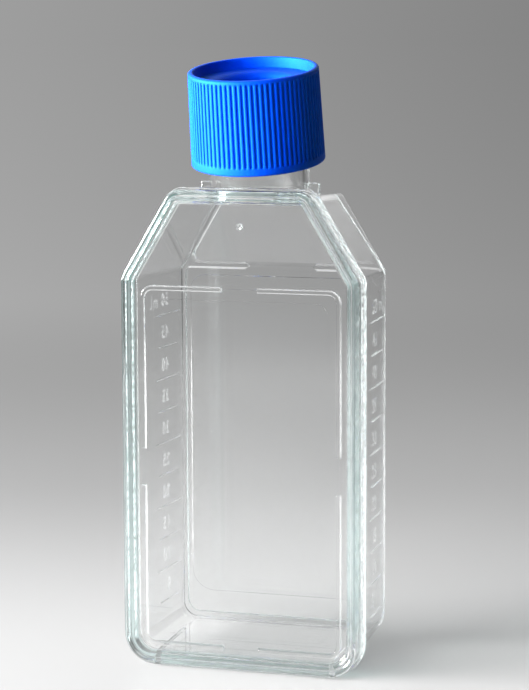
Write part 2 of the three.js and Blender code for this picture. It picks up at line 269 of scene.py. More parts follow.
def rounded_block(name, low, high, radius):
    """A block with its edges rounded, between two corners in (x, depth, height)."""
    (x0, y0, z0), (x1, y1, z1) = low, high
    ring = [(x0, z0), (x1, z0), (x1, z1), (x0, z1)]
    block = stack(name, [(ring, y0), (ring, y1)])
    bm = bmesh.new()
    bm.from_mesh(block.data)
    bmesh.ops.bevel(
        bm, geom=bm.edges, offset=radius * MM, segments=3, profile=0.5, affect="EDGES",
    )
    bm.to_mesh(block.data)
    bm.free()
    return block


def combine(base, other, operation):
    """Joins other to base, cuts it out, or keeps what they share. other is used up."""
    modifier = base.modifiers.new("combine", "BOOLEAN")
    modifier.operation = operation
    modifier.solver = "MANIFOLD"
    modifier.object = other
    graph = bpy.context.evaluated_depsgraph_get()
    mesh = bpy.data.meshes.new_from_object(base.evaluated_get(graph))
    base.modifiers.clear()
    base.data = mesh
    bpy.data.objects.remove(other)
    return base


def merge(objects):
    """One object holding the meshes of several that don't touch."""
    bm = bmesh.new()
    for obj in objects:
        bm.from_mesh(obj.data)
    mesh = bpy.data.meshes.new(objects[0].name)
    bm.to_mesh(mesh)
    bm.free()
    for obj in objects[1:]:
        bpy.data.objects.remove(obj)
    objects[0].data = mesh
    return objects[0]


def smooth(obj):
    """Smooth shading that keeps real corners sharp and flat faces flat."""
    obj.data.shade_smooth()
    obj.data.set_sharp_from_angle(angle=SHARP_ANGLE)
    modifier = obj.modifiers.new("flat faces", "WEIGHTED_NORMAL")
    modifier.keep_sharp = True
    modifier.weight = 90


# ------------------------------------------------------------------ flask body, outside

FLANGE_EDGE_ROUND = 0.3
WALL_ROOT_ROUND = 0.4
LUG_ROUND = 0.25
FOOT_ROUND = 0.18

# the round of the back edge and the panel's borders inside it, which are wider in the CAD
BACK_EDGE_RADIUS = 0.9
PANEL_SIDE_BORDER = 0.2
PANEL_FOOT_BORDER = 0.7


def wall_inset(y):
    """Inset of the body's outer wall at a depth, with its draft."""
    return WALL_INSET + max(y - FLANGE_BACK, 0) * math.tan(DRAFT)


def back_edge(y, extra, radius):
    """Sections that round the edge between the walls and a flat back at depth y."""
    return [
        (y - radius + along, wall_inset(y - radius + along) + extra + drop)
        for along, drop in arc(radius)
    ]


def body_outside():
    """The body before it is hollowed: the flange, the drafted walls and the back."""
    edge = FLANGE_EDGE_ROUND
    root = WALL_ROOT_ROUND
    front_edge = [(WELD + edge - along, drop) for along, drop in reversed(arc(edge))]
    rear_edge = [(FLANGE_BACK - edge + along, drop) for along, drop in arc(edge)]
    wall_root = [(FLANGE_BACK + drop, WALL_INSET - root + along) for along, drop in arc(root)]
    walls = back_edge(DEPTH, 0, BACK_EDGE_RADIUS)
    return loft("flask_shell", front_edge + rear_edge + wall_root + walls)


def lugs():
    """The bar across the neck's root, whose ends stand out as two lugs."""
    half = NECK_RADIUS + LUG_REACH
    low = (-half, NECK_ROOT_DEPTH - LUG_THICKNESS / 2, WALL_TOP - WALL / 2)
    high = (half, NECK_ROOT_DEPTH + LUG_THICKNESS / 2, WALL_TOP + LUG_HEIGHT)
    return rounded_block("lugs", low, high, LUG_ROUND)


def foot(x):
    """A foot under the bottom wall, level with the flange's edge."""
    low = (x - FOOT_THICKNESS / 2, FLANGE_BACK - PAST, 0)
    high = (x + FOOT_THICKNESS / 2, FLANGE_BACK + FOOT_LENGTH, WALL_INSET + WALL * 0.75)
    return rounded_block("foot", low, high, FOOT_ROUND)


# ------------------------------------------------------------------ flask body, back

# the stand ribs' sides, as (distance out from the middle of the slope, depth below the crest)
RIB_SIDE = [(-0.22, 0.3), (-0.14, 0.26), (0.12, 0.05), (0.2, 0.01), (0.28, 0.0)]
BACK_CLEAR = 0.6
PANEL_TOP_RADIUS = 1.2
RAMP_CORNER_RADIUS = 1.2

# the faint step inside the panel: its distances from the panel's edges, its corner radii and
# its edge, as (distance out, depth behind the panel's floor)
STEP_SIDE = 1.2
STEP_FOOT = 4.2
STEP_TOP = 1.4
STEP_LOW_RADIUS = 4
STEP_TOP_RADIUS = 2.6
STEP_EDGE = [(0, -0.06), (0.06, 0), (0.2, 0.1)]


def ramp_depth(z):
    """Depth of the ramp's face at a height."""
    return DEPTH - RAMP_STEP - (z - RAMP_FOOT) * RAMP_SLOPE


def behind_ramp(offset, bottom, top):
    """Everything behind the ramp's face moved forward by offset, between two heights."""
    shift = offset * math.hypot(1, RAMP_SLOPE)
    far = DEPTH + FAR_PAST
    side = [
        (ramp_depth(bottom) - shift, bottom), (far, bottom),
        (far, top), (ramp_depth(top) - shift, top),
    ]
    rings = [[(x, y, z) for y, z in side] for x in (-HALF_WIDTH, HALF_WIDTH)]
    return new_object("behind_ramp", *bridge(rings))


def ramp_plan(grow):
    """The ramp between the stand ribs, open past the top, with rounded lower corners."""
    inset = wall_inset(DEPTH) + STAND_RIB_WIDTH - grow
    slope = (HALF_WIDTH - TOP_HALF_WIDTH) / SHOULDER_DROP
    low = RAMP_FOOT - grow
    shoulder = SHOULDER_HEIGHT - inset * math.tan(SHOULDER_LEAN / 2)
    low_half = HALF_WIDTH - inset - (low - shoulder) * slope
    open_height = HEIGHT + FAR_PAST
    open_half = HALF_WIDTH - inset - (open_height - shoulder) * slope
    radius = RAMP_CORNER_RADIUS
    reach = radius * math.tan((math.pi / 2 - SHOULDER_LEAN) / 2 + SHOULDER_LEAN)
    points = []
    for k in range(CORNER_STEPS + 1):
        angle = -math.pi / 2 + (math.pi / 2 + SHOULDER_LEAN) * k / CORNER_STEPS
        x = low_half - reach + radius * math.cos(angle)
        points.append((x, low + radius + radius * math.sin(angle)))
    points.append((open_half, open_height))
    return points + [(-x, z) for x, z in reversed(points)]


def ramp_cutter(side):
    """What the ramp takes away, with the stand ribs' sides round it."""
    levels = [(ramp_plan(side[0][0]), WELD)] + [(ramp_plan(grow), y) for grow, y in side]
    ramp = stack("ramp", levels)
    return combine(ramp, behind_ramp(0, RAMP_FOOT - PAST, HEIGHT + PAST), "INTERSECT")


def rib_gap():
    """The gap between the rounded ends of the stand ribs, as (x, height)."""
    end = STAND_RIB_WIDTH / 2
    half = STAND_RIB_OPENING / 2 + end
    middle = STAND_RIB_HEIGHT + end
    side = [(half, STAND_RIB_HEIGHT - PAST)]
    for k in range(CORNER_STEPS + 1):
        angle = math.radians(-90 + 180 * k / CORNER_STEPS)
        side.append((half - end * math.cos(angle), middle + end * math.sin(angle)))
    side.append((half, RAMP_FOOT + PAST))
    return side + [(-x, z) for x, z in reversed(side)]


def cut_back(body):
    """Cuts the panel and its step, the ramp, and the gap between the stand ribs' ends."""
    flat = wall_inset(DEPTH) + BACK_EDGE_RADIUS
    half = HALF_WIDTH - flat - PANEL_SIDE_BORDER
    low = flat + PANEL_FOOT_BORDER
    top = STAND_RIB_HEIGHT
    floor = DEPTH - PANEL_DEPTH
    clear_back = DEPTH + BACK_CLEAR
    side = [(grow, DEPTH - drop) for grow, drop in RIB_SIDE] + [(RIB_SIDE[-1][0], clear_back)]

    def panel_plan(grow):
        return rounded_rectangle(
            half + grow, low - grow, top + grow,
            PANEL_CORNER_RADIUS + grow, PANEL_TOP_RADIUS + grow,
        )

    def step_plan(grow):
        return rounded_rectangle(
            half - STEP_SIDE + grow, low + STEP_FOOT - grow, top - STEP_TOP + grow,
            STEP_LOW_RADIUS + grow, STEP_TOP_RADIUS + grow,
        )

    step_levels = [(step_plan(grow), floor + behind) for grow, behind in STEP_EDGE]
    gap_levels = [(rib_gap(), floor), (rib_gap(), clear_back)]
    combine(body, stack("panel", [(panel_plan(grow), y) for grow, y in side]), "DIFFERENCE")
    combine(body, stack("step", step_levels), "DIFFERENCE")
    combine(body, ramp_cutter(side), "DIFFERENCE")
    combine(body, stack("rib_gap", gap_levels), "DIFFERENCE")


# ------------------------------------------------------------------ neck

NECK_LIP_ROUND = 0.35
NECK_MOUTH_ROUND = 0.3
NECK_FILLET = 0.6
NECK_FILLET_SUNK = 0.4

# the thread's section, as (distance up from its middle, share of its depth), and how far
# its edges lie under the neck's surface
THREAD_SECTION = [
    (-0.85, 0.0), (-0.62, 0.12), (-0.3, 0.88), (-0.12, 1.0),
    (0.12, 1.0), (0.3, 0.88), (0.62, 0.12), (0.85, 0.0),
]
THREAD_EDGE_SUNK = 0.05
THREAD_STEPS = 140
THREAD_FADE_STEPS = 14


def neck_thread():
    """One coarse ridge wound up the neck, faded out at both ends."""
    inside = NECK_RADIUS - THREAD_SUNK
    edge = NECK_RADIUS - THREAD_EDGE_SUNK
    rings = []
    for k in range(THREAD_STEPS + 1):
        angle = 2 * math.pi * THREAD_TURNS * k / THREAD_STEPS
        middle = THREAD_START + THREAD_PITCH * THREAD_TURNS * k / THREAD_STEPS
        fade = min(1, (k + 1) / THREAD_FADE_STEPS, (THREAD_STEPS - k + 1) / THREAD_FADE_STEPS)
        section = [(up, edge + THREAD_DEPTH * share * fade) for up, share in THREAD_SECTION]
        section = [(section[0][0], inside)] + section + [(section[-1][0], inside)]
        rings.append([
            neck_place(radius * math.cos(angle), radius * math.sin(angle), middle + up)
            for up, radius in section
        ])
    return new_object("thread", *bridge(rings))


def neck_outside():
    """The neck as a solid cylinder with a rounded lip."""
    top = NECK_ABOVE_CAP_BASE
    lip = [
        (NECK_RADIUS - drop, top - NECK_LIP_ROUND + along)
        for along, drop in arc(NECK_LIP_ROUND)
    ]
    profile = [(ON_AXIS, -NECK_ROOT), (NECK_RADIUS, -NECK_ROOT)] + lip + [(ON_AXIS, top)]
    return turned("neck", profile, ROUND_STEPS, neck_place)


def neck_bore():
    """What the neck's bore takes away, with a rounded mouth."""
    radius = NECK_RADIUS - NECK_WALL
    top = NECK_ABOVE_CAP_BASE
    mouth = [
        (radius + drop, top - NECK_MOUTH_ROUND + along)
        for along, drop in arc(NECK_MOUTH_ROUND)
    ]
    profile = [(ON_AXIS, -NECK_ROOT), (radius, -NECK_ROOT)] + mouth
    profile += [(radius + NECK_MOUTH_ROUND, top + PAST), (ON_AXIS, top + PAST)]
    return turned("bore", profile, ROUND_STEPS, neck_place)


def neck_root():
    """The fillet where the neck stands on the top wall."""
    low = WALL_TOP - NECK_FILLET_SUNK
    wide = NECK_RADIUS + NECK_FILLET

    def place(x, y, z):
        stretch = 1 / math.cos(CANT)
        lean = -(z - WALL_TOP) * math.tan(CANT)
        return x, NECK_ROOT_DEPTH + y * stretch + lean, z

    curve = [(wide - along, WALL_TOP + drop) for along, drop in arc(NECK_FILLET)]
    profile = [(ON_AXIS, low), (wide, low)] + curve + [(ON_AXIS, WALL_TOP + NECK_FILLET)]
    return turned("neck_root", profile, ROUND_STEPS, place)


# ------------------------------------------------------------------ volume scale

FIRST_MARK = 7.93
MARK_STEP = 5.8
MARK_COUNT = 10
MARK_FRONT = 12.4
MARK_BACK = 23.8
SHORT_MARK = 0.78
ML_PER_MARK = 5

# a mark's section, as (half width, height above the wall)
MARK_SECTION = [(0.13, -0.1), (0.13, 0.01), (0.09, 0.04), (0.04, 0.07)]

# numbers: their size, their rise above their mark, and the depth where they start on each side
NUMBER_HEIGHT = 2.4
NUMBER_WIDTH = 0.8
NUMBER_SPACING = 1.35
NUMBER_PROUD = 0.13
NUMBER_LIFT = 1.48
NUMBER_START = {-1: 18.5, 1: 14.3}
DIGIT_SHARE_OF_FONT = 0.72


def numerals(text, side, z):
    """Raised lettering on a side wall, read from outside, that stands on height z."""
    y = NUMBER_START[side]
    curve = bpy.data.curves.new("number", "FONT")
    curve.body = text
    curve.size = NUMBER_HEIGHT / DIGIT_SHARE_OF_FONT * MM
    curve.extrude = NUMBER_PROUD * MM
    curve.resolution_u = 3
    curve.space_character = NUMBER_SPACING
    text_obj = bpy.data.objects.new("number", curve)
    bpy.context.scene.collection.objects.link(text_obj)
    graph = bpy.context.evaluated_depsgraph_get()
    mesh = bpy.data.meshes.new_from_object(text_obj.evaluated_get(graph))
    bpy.data.objects.remove(text_obj)
    bm = bmesh.new()
    bm.from_mesh(mesh)
    bmesh.ops.remove_doubles(bm, verts=bm.verts, dist=1e-7)
    across = Vector((-math.sin(DRAFT), side * math.cos(DRAFT), 0))
    up = Vector((0, 0, 1))
    out = across.cross(up)
    spot = Vector((side * (HALF_WIDTH - wall_inset(y)), FRONT + y, z)) * MM
    turn = Matrix((across, up, out)).transposed().to_4x4()
    bm.transform(Matrix.Translation(spot) @ turn @ Matrix.Diagonal((NUMBER_WIDTH, 1, 1, 1)))
    bm.to_mesh(mesh)
    bm.free()
    obj = bpy.data.objects.new("number", mesh)
    bpy.context.scene.collection.objects.link(obj)
    return obj


def volume_scale():
    """A mark each 5 mL on both side walls, with their numbers above them."""
    pieces = []
    middle = (MARK_FRONT + MARK_BACK) / 2
    for side in (-1, 1):
        def place(u, v, h, side=side):
            return side * (HALF_WIDTH - wall_inset(u) + h), u, v

        for k in range(MARK_COUNT):
            z = FIRST_MARK + MARK_STEP * k
            reach = (MARK_BACK - MARK_FRONT) / 2 * (1 if k % 2 else SHORT_MARK)
            path = [(middle - reach, z), (middle, z), (middle + reach, z)]
            pieces.append(ridge("mark", path, MARK_SECTION, place))
            unit = " mL" if k == MARK_COUNT - 1 else ""
            label = f"{ML_PER_MARK * (k + 1)}{unit}"
            pieces.append(numerals(label, side, z + NUMBER_LIFT))
    return merge(pieces)


# ------------------------------------------------------------------ flask body, whole

# how far below the stand ribs the chamber's back starts to follow the ramp
CAVITY_RAMP_BELOW = 3


def cavity():
    """The chamber, which follows the walls, the back and the ramp at one wall's thickness."""
    inset = WALL_INSET + WALL
    mouth = [(WELD - PAST, inset), (FLANGE_BACK, inset)]
    back = back_edge(DEPTH - PANEL_DEPTH - WALL, WALL, INSIDE_EDGE_RADIUS)
    chamber = loft("cavity", mouth + back)
    behind = behind_ramp(WALL, STAND_RIB_HEIGHT - CAVITY_RAMP_BELOW, HEIGHT + FAR_PAST)
    return combine(chamber, behind, "DIFFERENCE")


def make_body():
    """The body in one piece with its neck, feet, lugs and volume scale."""
    body = body_outside()
    combine(body, neck_root(), "UNION")
    cut_back(body)
    combine(body, neck_outside(), "UNION")
    combine(body, neck_thread(), "UNION")
    combine(body, lugs(), "UNION")
    for x in (FOOT_INSET - HALF_WIDTH, HALF_WIDTH - FOOT_INSET):
        combine(body, foot(x), "UNION")
    combine(body, volume_scale(), "UNION")
    combine(body, cavity(), "DIFFERENCE")
    combine(body, neck_bore(), "DIFFERENCE")
    return body


# ------------------------------------------------------------------ front plate

RIM_EDGE_ROUND = 0.6
RIM_ROOT_ROUND = 0.45
PLATE_BACK_PROUD = 0.04

# the fine groove along the rim
GROOVE_INSET = 1.46
GROOVE_HALF_WIDTH = 0.26
GROOVE_DEPTH = 0.14
GROOVE_STEPS = 5

# middle line of the raised frame
FRAME_HALF = HALF_WIDTH - FRAME_INSET - FRAME_RIB_WIDTH / 2
FRAME_LOW = FRAME_INSET + FRAME_RIB_WIDTH / 2
FRAME_HIGH = SHOULDER_HEIGHT - FRAME_BELOW_SHOULDER - FRAME_RIB_WIDTH / 2

# a bracket's section, as (narrowing each side, height above the plate)
BRACKET_SECTION = [(0, -0.4), (0, 0.08), (0.06, 0.24), (0.17, 0.36), (0.27, 0.4)]

# faint steps inside the frame, as (distance in from its middle line, depth)
PLATE_STEPS = [(0, 0.06), (2.0, 0.09)]

# the gate mark's section, as (radius, height above the plate)
GATE_SECTION = [
    (ON_AXIS, -0.4), (0.66, -0.4), (0.64, 0.12), (0.58, 0.26),
    (0.46, 0.34), (0.32, 0.3), (0.18, 0.2), (ON_AXIS, 0.16),
]
GATE_STEPS = 32


def plate_skin():
    """The plate and its rounded rim, from the panel's face round to the weld."""
    edge = RIM_EDGE_ROUND
    root = RIM_ROOT_ROUND
    inner = RIM_INSET + RIM_WIDTH
    inside = WALL_INSET + WALL
    panel_edge = [(RIM_HEIGHT - drop, inner + root - along) for along, drop in arc(root)]
    inner_edge = [(edge - along, inner - drop) for along, drop in arc(edge)]
    groove = []
    for k in range(-GROOVE_STEPS, GROOVE_STEPS + 1):
        share = math.cos(math.pi / 2 * k / GROOVE_STEPS) ** 1.5
        groove.append((GROOVE_DEPTH * share, GROOVE_INSET - GROOVE_HALF_WIDTH * k / GROOVE_STEPS))
    outer_edge = [(edge - along, RIM_INSET + drop) for along, drop in reversed(arc(edge))]
    back = [
        (WELD, RIM_INSET), (WELD, inside),
        (WELD + PLATE_BACK_PROUD, inside + PLATE_BACK_PROUD),
    ]
    return loft("front_panel", panel_edge + inner_edge + groove + outer_edge + back)


def plate_step(inset, depth):
    """What one faint step inside the raised frame takes away, with sloping sides."""
    def level(grow):
        radius = FRAME_CORNER_RADIUS + grow
        return rounded_rectangle(
            FRAME_HALF - inset + grow, FRAME_LOW + inset - grow, FRAME_HIGH - inset + grow,
            radius, radius,
        )

    return stack("step", [
        (level(0.5), RIM_HEIGHT - 0.1),
        (level(0.3), RIM_HEIGHT),
        (level(0.1), RIM_HEIGHT + depth - 0.01),
        (level(0), RIM_HEIGHT + depth),
    ])


def bracket_path(x_sign, z_sign):
    """The middle line of one L-shaped corner bracket of the raised frame."""
    middle = (FRAME_LOW + FRAME_HIGH) / 2
    tall = (FRAME_HIGH - FRAME_LOW) / 2
    half = FRAME_HALF
    radius = FRAME_CORNER_RADIUS - FRAME_RIB_WIDTH / 2
    points = [(FRAME_GAP_ACROSS / 2, tall), ((FRAME_GAP_ACROSS / 2 + half) / 2, tall)]
    for k in range(ARC_STEPS + 1):
        angle = math.radians(90 - 90 * k / ARC_STEPS)
        x = half - radius + radius * math.cos(angle)
        points.append((x, tall - radius + radius * math.sin(angle)))
    points += [(half, (tall + FRAME_GAP_UP / 2) / 2), (half, FRAME_GAP_UP / 2)]
    return [(x * x_sign, middle + z * z_sign) for x, z in points]


def brackets():
    """The raised frame on the plate, in four corner brackets."""
    section = [(FRAME_RIB_WIDTH / 2 - narrowing, height) for narrowing, height in BRACKET_SECTION]

    def place(u, v, h):
        return u, RIM_HEIGHT - h, v

    return merge([
        ridge("bracket", bracket_path(x_sign, z_sign), section, place)
        for x_sign in (-1, 1) for z_sign in (-1, 1)
    ])


def gate_mark():
    """The small dimpled stub that the moulding gate leaves near the top of the plate."""
    def place(x, y, s):
        return x, RIM_HEIGHT - s, HEIGHT - GATE_DROP + y

    return turned("gate", GATE_SECTION, GATE_STEPS, place)


def make_plate():
    """The front plate with its rim, steps, brackets and gate mark."""
    plate = plate_skin()
    for inset, depth in PLATE_STEPS:
        combine(plate, plate_step(inset, depth), "DIFFERENCE")
    combine(plate, brackets(), "UNION")
    combine(plate, gate_mark(), "UNION")
    return plate


def mark_weld(piece, facing):
    """Gives the flat faces in the weld, where plate and flange are one, the second material."""
    for face in piece.data.polygons:
        in_weld = abs(face.center.y / MM - FRONT - WELD) < 1e-3
        if in_weld and face.normal.y * facing > 0.99:
            face.material_index = 1


# ------------------------------------------------------------------ screw cap

# sizes shared with the CAD
SKIRT_WALL = 1.65
SKIRT_TAPER = 0.36
THREAD_CLEARANCE = 0.35
PLUG_CLEARANCE = 0.35
SEAT_GAP = 0.35
CAP_TOP_THICKNESS = 1.15
RECESS_DEPTH = 1.9
CAP_RIM_WIDTH = 0.9
CAP_BAND_HEIGHT = 1.3
PLUG_LENGTH = 5.0
PLUG_WALL = 0.95
RIB_COUNT = 78

# ribs: the grooves between them are deeper in the CAD, and a crest's half width is a share
# of the pitch
RIB_DEPTH = 0.24
RIB_HALF = 0.36
CREST_STEPS = 8
RIB_BELOW_TOP = 0.6
RIB_LEVELS = 5

# how the grooves fade out, as (distance from the end, share of the depth)
GROOVE_LOW_END = [(0, 0), (0.12, 0.35), (0.24, 0.8), (0.4, 1)]
GROOVE_TOP_END = [(0.5, 1), (0.3, 0.8), (0.15, 0.35), (0, 0)]

# roundings
PLUG_LEAD = 0.6
SKIRT_FOOT_ROUND = 0.35
CAP_TOP_ROUND = 0.45
CAP_RIM_ROUND = 0.25
WELL_MOUTH_ROUND = 1.3
INSIDE_BEVEL = 0.3

# heights above the cap's lower edge, along its axis, and radii
CAP_UNDER = NECK_ABOVE_CAP_BASE + SEAT_GAP
CAP_PLATE_TOP = CAP_UNDER + CAP_TOP_THICKNESS
CAP_LENGTH = CAP_PLATE_TOP + RECESS_DEPTH
PLUG_TIP = CAP_UNDER - PLUG_LENGTH
RIB_TOP = CAP_LENGTH - RIB_BELOW_TOP
SKIRT_INSIDE = NECK_RADIUS + THREAD_DEPTH + THREAD_CLEARANCE
SKIRT_RADIUS = SKIRT_INSIDE + SKIRT_WALL
NECK_BORE = NECK_RADIUS - NECK_WALL
PLUG_RADIUS = NECK_BORE - PLUG_CLEARANCE


def skirt(s):
    """Outer radius of the tapered skirt at a height."""
    return SKIRT_RADIUS - SKIRT_TAPER * s / CAP_LENGTH


def cap_underside():
    """(radius, height) points from the plug's tip to the skirt's lower edge."""
    plug = PLUG_RADIUS
    under = CAP_UNDER
    bevel = INSIDE_BEVEL
    points = [(ON_AXIS, PLUG_TIP), (plug - PLUG_LEAD - 0.1, PLUG_TIP)]
    points += [(plug - PLUG_LEAD + along, PLUG_TIP + drop) for along, drop in arc(PLUG_LEAD, 4)]
    points += [(plug, under - 0.2), (plug + 0.2, under), (SKIRT_INSIDE - bevel, under)]
    points += [(SKIRT_INSIDE, under - bevel), (SKIRT_INSIDE, bevel), (SKIRT_INSIDE + 0.2, 0)]
    return points


def cap_outside():
    """(radius, height, share of the groove depth) points up the skirt."""
    edge = SKIRT_FOOT_ROUND
    band = CAP_BAND_HEIGHT
    low_run = GROOVE_LOW_END[-1][0]
    both_runs = low_run + GROOVE_TOP_END[0][0]
    points = [(SKIRT_RADIUS - edge + along, drop, 0) for along, drop in arc(edge, 4)]
    points.append((skirt(band - 0.15), band - 0.15, 0))
    points += [(skirt(band + up), band + up, share) for up, share in GROOVE_LOW_END]
    for k in range(1, RIB_LEVELS + 1):
        s = band + low_run + (RIB_TOP - both_runs - band) * k / (RIB_LEVELS + 1)
        points.append((skirt(s), s, 1))
    points += [(skirt(RIB_TOP - down), RIB_TOP - down, share) for down, share in GROOVE_TOP_END]
    return points


def cap_top():
    """(radius, height) points over the rim, down the recess and into the plug's well."""
    rim_out = SKIRT_RADIUS - SKIRT_TAPER
    rim_in = rim_out - CAP_RIM_WIDTH
    plate = CAP_PLATE_TOP
    well = PLUG_RADIUS - PLUG_WALL
    well_floor = PLUG_TIP + PLUG_WALL
    shoulder = CAP_LENGTH - CAP_TOP_ROUND
    crest = CAP_LENGTH - CAP_RIM_ROUND
    points = [(rim_out - drop, shoulder + along) for along, drop in arc(CAP_TOP_ROUND)]
    points += [(rim_in + drop, crest + along) for along, drop in reversed(arc(CAP_RIM_ROUND))]
    points += [(rim_in - 0.1, CAP_LENGTH - 1), (rim_in - 0.2, plate + 0.3)]
    points += [(rim_in - 0.3, plate + 0.08), (rim_in - 0.5, plate), (NECK_BORE + 0.3, plate)]
    points += [(NECK_BORE - along, plate - drop) for along, drop in arc(WELL_MOUTH_ROUND)]
    points += [(well, plate - 2.4), (well - 0.2, well_floor + 0.4)]
    points += [(well - 0.6, well_floor), (ON_AXIS, well_floor)]
    return points


def make_cap():
    """The cap in one skin, with its grooves as deep as the profile says."""
    profile = [(radius, s, 0) for radius, s in cap_underside()]
    profile += cap_outside()
    profile += [(radius, s, 0) for radius, s in cap_top()]

    # one rib as (share of the pitch, share of the depth): a narrow flat, then a round crest
    crest = [math.pi * k / CREST_STEPS for k in range(CREST_STEPS + 1)]
    rib = [(0.0, 0.0)] + [(0.5 - RIB_HALF * math.cos(a), math.sin(a)) for a in crest]
    rings = []
    for radius, s, share in profile:
        ring = []
        for k in range(RIB_COUNT):
            for along, up in rib:
                reach = radius - RIB_DEPTH * share * (1 - up)
                angle = 2 * math.pi * (k + along) / RIB_COUNT
                ring.append(neck_place(reach * math.cos(angle), reach * math.sin(angle), s))
        rings.append(ring)
    return new_object("cap_shell", *bridge(rings))


# ------------------------------------------------------------------ node helpers


def put(tree, value, socket):
    """Sets a socket to a number or links it to an output."""
    if isinstance(value, (int, float)):
        socket.default_value = value
    else:
        tree.links.new(value, socket)


def vector_node(tree, operation, vector):
    """A vector maths node with its first socket linked."""
    node = tree.nodes.new("ShaderNodeVectorMath")
    node.operation = operation
    tree.links.new(vector, node.inputs[0])
    return node


def dot(tree, vector, axis):
    """How far a vector reaches along a fixed axis."""
    node = vector_node(tree, "DOT_PRODUCT", vector)
    node.inputs[1].default_value = axis
    return node.outputs["Value"]


def math_node(tree, operation, first, second=0):
    """The result of a sum of numbers or outputs."""
    node = tree.nodes.new("ShaderNodeMath")
    node.operation = operation
    put(tree, first, node.inputs[0])
    put(tree, second, node.inputs[1])
    return node.outputs["Value"]


def blend(tree, value, low, high, at_low, at_high):
    """A smooth change from at_low to at_high as the value goes from low to high."""
    node = tree.nodes.new("ShaderNodeMapRange")
    node.interpolation_type = "SMOOTHSTEP"
    node.inputs["From Min"].default_value = low
    node.inputs["From Max"].default_value = high
    node.inputs["To Min"].default_value = at_low
    node.inputs["To Max"].default_value = at_high
    tree.links.new(value, node.inputs["Value"])
    return node.outputs["Result"]


def mix_node(tree, share, first, second):
    """The first number or output, with a share of the second."""
    node = tree.nodes.new("ShaderNodeMix")
    tree.links.new(share, node.inputs["Factor"])
    put(tree, first, node.inputs["A"])
    put(tree, second, node.inputs["B"])
    return node.outputs["Result"]


def mix_shaders(tree, share, first, second):
    """The first shader, with a share of the second."""
    node = tree.nodes.new("ShaderNodeMixShader")
    tree.links.new(share, node.inputs["Fac"])
    tree.links.new(first, node.inputs[1])
    tree.links.new(second, node.inputs[2])
    return node.outputs["Shader"]


def object_place(tree):
    """Places in metres, measured from the object's origin."""
    return tree.nodes.new("ShaderNodeTexCoord").outputs["Object"]


def noise(tree, place, scale, detail):
    """Noise fixed to the object, finer with a larger scale."""
    node = tree.nodes.new("ShaderNodeTexNoise")
    node.inputs["Scale"].default_value = scale
    node.inputs["Detail"].default_value = detail
    tree.links.new(place, node.inputs["Vector"])
    return node.outputs["Fac"]


def bump(tree, height, distance, strength):
    """A bump node that turns a height into a normal."""
    node = tree.nodes.new("ShaderNodeBump")
    node.inputs["Distance"].default_value = distance
    put(tree, strength, node.inputs["Strength"])
    tree.links.new(height, node.inputs["Height"])
    return node


def finish_with(tree, output, socket):
    """Makes an output the material's surface or volume."""
    tree.links.new(output, tree.nodes["Material Output"].inputs[socket])


# ------------------------------------------------------------------ materials

SEAM_BEHIND_WELD = 0.6
SEAM_HALF = 1.2
SEAM_ROUGHNESS = 0.8
SEAM_GRAIN = 1700
NUMBER_FROST = 0.035


def principled(name, **values):
    """A material with a Principled shader, whose sockets take the values."""
    material = bpy.data.materials.new(name)
    material.use_nodes = True
    shader = material.node_tree.nodes["Principled BSDF"]
    for socket, value in values.items():
        shader.inputs[socket.replace("_", " ")].default_value = value
    return material, shader


def beyond_outline(tree, place):
    """How far out a place lies from the flask's side and shoulder edges, in mm."""
    mirrored = vector_node(tree, "ABSOLUTE", place).outputs["Vector"]
    across = math.cos(SHOULDER_LEAN)
    rise = math.sin(SHOULDER_LEAN)
    side = dot(tree, mirrored, (1 / MM, 0, 0))
    slant = dot(tree, mirrored, (across / MM, 0, rise / MM))
    slant_edge = HALF_WIDTH * across + SHOULDER_HEIGHT * rise
    past_side = math_node(tree, "SUBTRACT", side, HALF_WIDTH)
    past_slant = math_node(tree, "SUBTRACT", slant, slant_edge)
    return math_node(tree, "MAXIMUM", past_side, past_slant)


def seam_share(tree, out, depth):
    """SEAM_ROUGHNESS on the outside of the weld between plate and flange, none elsewhere."""
    past_weld = math_node(tree, "SUBTRACT", depth, WELD + SEAM_BEHIND_WELD)
    off = math_node(tree, "ABSOLUTE", past_weld)
    outside = blend(tree, out, -0.6, -0.4, 0, SEAM_ROUGHNESS)
    near = blend(tree, off, SEAM_HALF - 0.3, SEAM_HALF, 1, 0)
    return math_node(tree, "MULTIPLY", outside, near)


def number_share(tree, out, depth):
    """NUMBER_FROST on the crests of the raised numbers, none elsewhere."""
    behind = math_node(tree, "SUBTRACT", depth, FLANGE_BACK)
    draft = math_node(tree, "MULTIPLY", behind, math.tan(DRAFT))
    wall = math_node(tree, "ADD", draft, WALL_INSET)
    proud = math_node(tree, "ADD", out, wall)
    crest = blend(tree, proud, NUMBER_PROUD * 0.6, NUMBER_PROUD * 0.9, 0, NUMBER_FROST)
    return math_node(tree, "MULTIPLY", crest, blend(tree, behind, 1.0, 1.5, 0, 1))


def frosted(tree, share, surface):
    """A surface with a share of frost, which scatters the light that it lets through."""
    frost = tree.nodes.new("ShaderNodeBsdfTranslucent")
    frost.inputs["Color"].default_value = (0.93, 0.97, 0.97, 1)
    return mix_shaders(tree, share, surface, frost.outputs["BSDF"])


